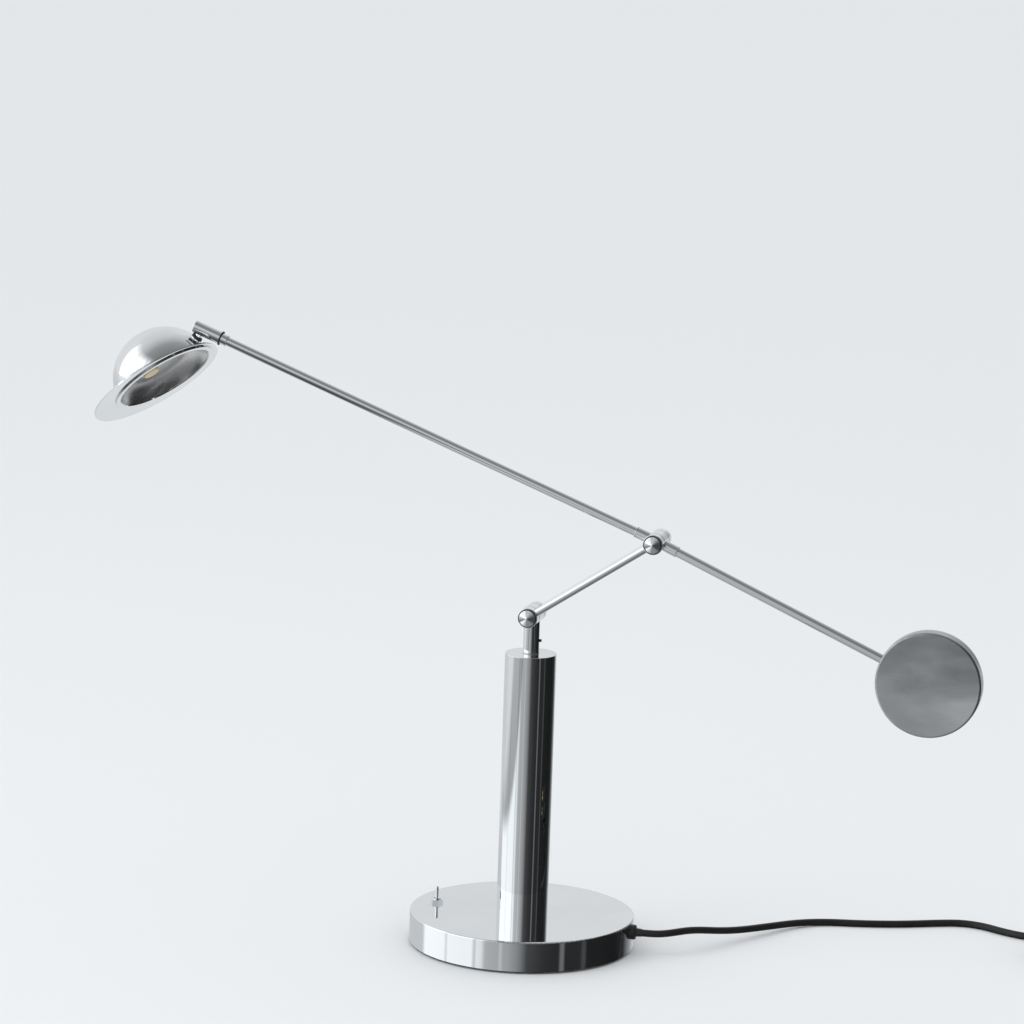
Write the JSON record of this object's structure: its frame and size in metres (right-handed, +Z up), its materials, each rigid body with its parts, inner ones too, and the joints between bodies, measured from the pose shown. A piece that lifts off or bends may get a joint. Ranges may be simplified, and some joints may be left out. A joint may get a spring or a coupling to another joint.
{
  "type": "counterbalanced table lamp",
  "caption": "Chromed table lamp: weighted round base, thick column, hinged link and counterbalanced arm with a disc weight and a domed, brimmed shade that rolls and turns.",
  "frame": {"origin": "centre of the base's underside, on the surface that the lamp stands on", "axes": "+Z up along the column; the arm lies in the XZ plane, the counterweight towards +X and the shade towards -X"},
  "size_m": [0.8648, 0.2678, 0.4857],
  "materials": {
    "chrome": "mirror-polished chrome plate",
    "satin_weight": "chrome plate with a finely turned satin face",
    "cast_ballast": "rough cast iron",
    "zinc_steel": "zinc-plated steel",
    "black_rubber": "matte black rubber",
    "cord_black": "smooth black cord sheath",
    "black_plastic": "fine-grained black moulding",
    "red_plastic": "dull moulded switch case",
    "white_case": "white driver case",
    "brass": "bare brass",
    "friction_fibre": "pressed black fibre washers",
    "black_oxide": "black oxide grub screws",
    "reflector_metal": "polished spun aluminium",
    "sink_metal": "cast aluminium",
    "board_white": "white solder mask",
    "led_phosphor": "yellow phosphor under clear gel"
  },
  "bodies": {
    "base": {"base_pad": "black_rubber", "bottom_plate": "zinc_steel", "plate_screws": "zinc_steel", "base_ballast": "cast_ballast", "base_cover": "chrome", "led_driver": "white_case", "supply_lead": "cord_black", "cord_gland": "black_plastic", "gland_nut": "black_plastic", "switch_body": "red_plastic", "switch_terminals": "brass", "toggle_bush": "chrome", "toggle_nut": "chrome", "toggle_pin": "zinc_steel", "column_tube": "chrome", "column_foot": "zinc_steel", "column_cap": "chrome", "tie_rod": "zinc_steel", "tie_nut": "zinc_steel", "tie_washer": "zinc_steel", "mains_cord": "cord_black", "cord_coil": "cord_black", "cord_ties": "black_plastic", "plug_body": "black_plastic", "plug_pins": "brass"},
    "switch_lever": {"toggle_lever": "chrome"},
    "stem": {"stem_washer": "zinc_steel", "stem": "chrome", "stem_set_screw": "black_oxide"},
    "link": {"lower_friction_washers": "friction_fibre", "lower_link_eyes": "chrome", "lower_pivot_bolt": "chrome", "lower_pivot_nut": "chrome", "link_rods": "chrome", "upper_friction_washers": "friction_fibre", "upper_link_eyes": "chrome", "upper_pivot_bolt": "chrome", "upper_pivot_nut": "chrome"},
    "arm": {"arm_hub": "chrome", "sleeve_rings": "chrome", "front_arm": "chrome", "arm_collar": "chrome", "rear_arm": "chrome", "counterweight": "satin_weight", "counterweight_screw": "black_oxide"},
    "head_joint": {"knuckle_ring": "friction_fibre", "roll_spindle": "zinc_steel", "knuckle": "chrome"},
    "shade": {"neck_pin": "chrome", "neck_washer": "friction_fibre", "neck_seat": "chrome", "neck_nut": "zinc_steel", "shade": "chrome", "bezel_ring": "chrome", "reflector": "reflector_metal", "led_board": "board_white", "board_screws": "zinc_steel", "led_emitter": "led_phosphor", "heat_sink": "sink_metal"}
  },
  "joints": [
    {"name": "toggle_tilt", "type": "hinge", "parent": "base", "child": "switch_lever", "pos_m": [-0.071, 0, 0.0265], "axis": [1, 0, 0], "range_deg": [-12, 12]},
    {"name": "stem_swivel", "type": "hinge", "parent": "base", "child": "stem", "pos_m": [0, 0, 0.238], "axis": [0, 0, 1], "range_deg": [-160, 160]},
    {"name": "link_swing", "type": "hinge", "parent": "stem", "child": "link", "pos_m": [0, 0, 0.269], "axis": [0, -1, 0], "range_deg": [-15, 35]},
    {"name": "arm_swing", "type": "hinge", "parent": "link", "child": "arm", "pos_m": [0.0985, 0, 0.33551], "axis": [0, -1, 0], "range_deg": [-35, 30]},
    {"name": "head_roll", "type": "hinge", "parent": "arm", "child": "head_joint", "pos_m": [-0.27914, 0, 0.47851], "axis": [-0.9352, 0, 0.3541], "range_deg": [-150, 150]},
    {"name": "shade_swivel", "type": "hinge", "parent": "head_joint", "child": "shade", "pos_m": [-0.27914, 0, 0.47851], "axis": [-0.5947, 0, -0.804], "range_deg": [-150, 150]}
  ]
}
